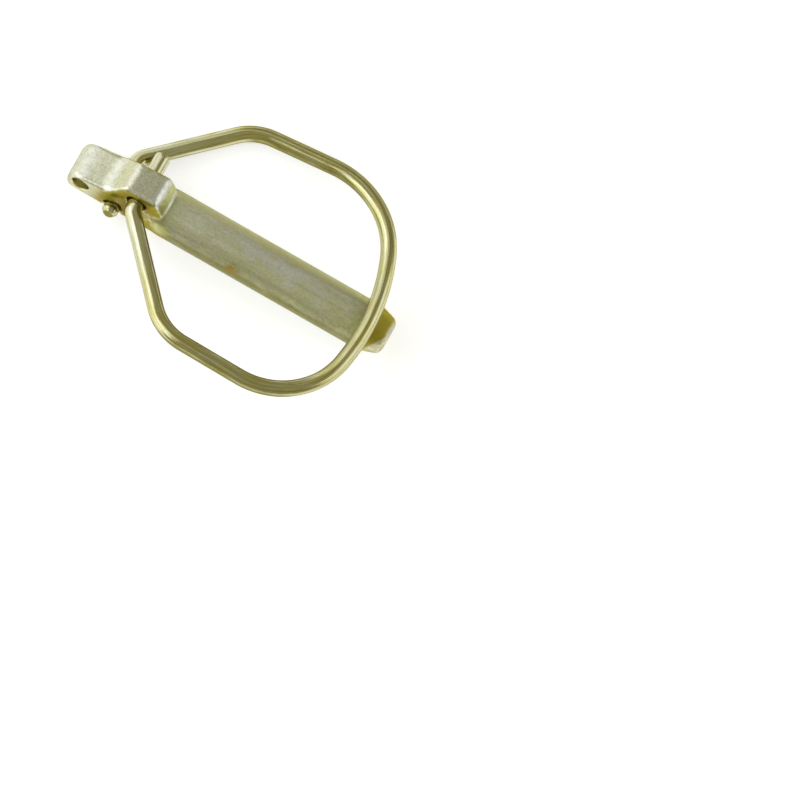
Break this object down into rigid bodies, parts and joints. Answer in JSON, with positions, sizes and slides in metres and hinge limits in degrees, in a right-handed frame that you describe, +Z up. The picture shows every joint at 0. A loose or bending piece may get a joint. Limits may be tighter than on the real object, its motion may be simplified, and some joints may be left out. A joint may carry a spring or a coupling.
{
  "type": "wire lock pin",
  "caption": "Forged lock pin with a stepped head, chain eye and tapered tip, and a spring wire ring that snaps over the shank.",
  "frame": {"origin": "middle of the pin's footprint, on the surface it lies on", "axes": "+X along the shank from the head to the tip, +Y to the wire strand that touches the ground, +Z up as the pin comes to rest"},
  "size_m": [0.071, 0.0516, 0.0174],
  "materials": {
    "zinc_forging": "satin zinc plate with a pale yellow passivation, fine forged grain on the head",
    "zinc_wire": "bright zinc plate with a pale yellow passivation on drawn wire"
  },
  "bodies": {
    "pin": {"pin": "zinc_forging"},
    "ring": {"wire_ring": "zinc_wire"}
  },
  "joints": [
    {"name": "ring_swing", "type": "hinge", "parent": "pin", "child": "ring", "pos_m": [-0.0228, -0.00028, 0.00618], "axis": [0, -0.9819, 0.1895], "range_deg": [0, 180], "deforming": ["wire_ring"]}
  ]
}
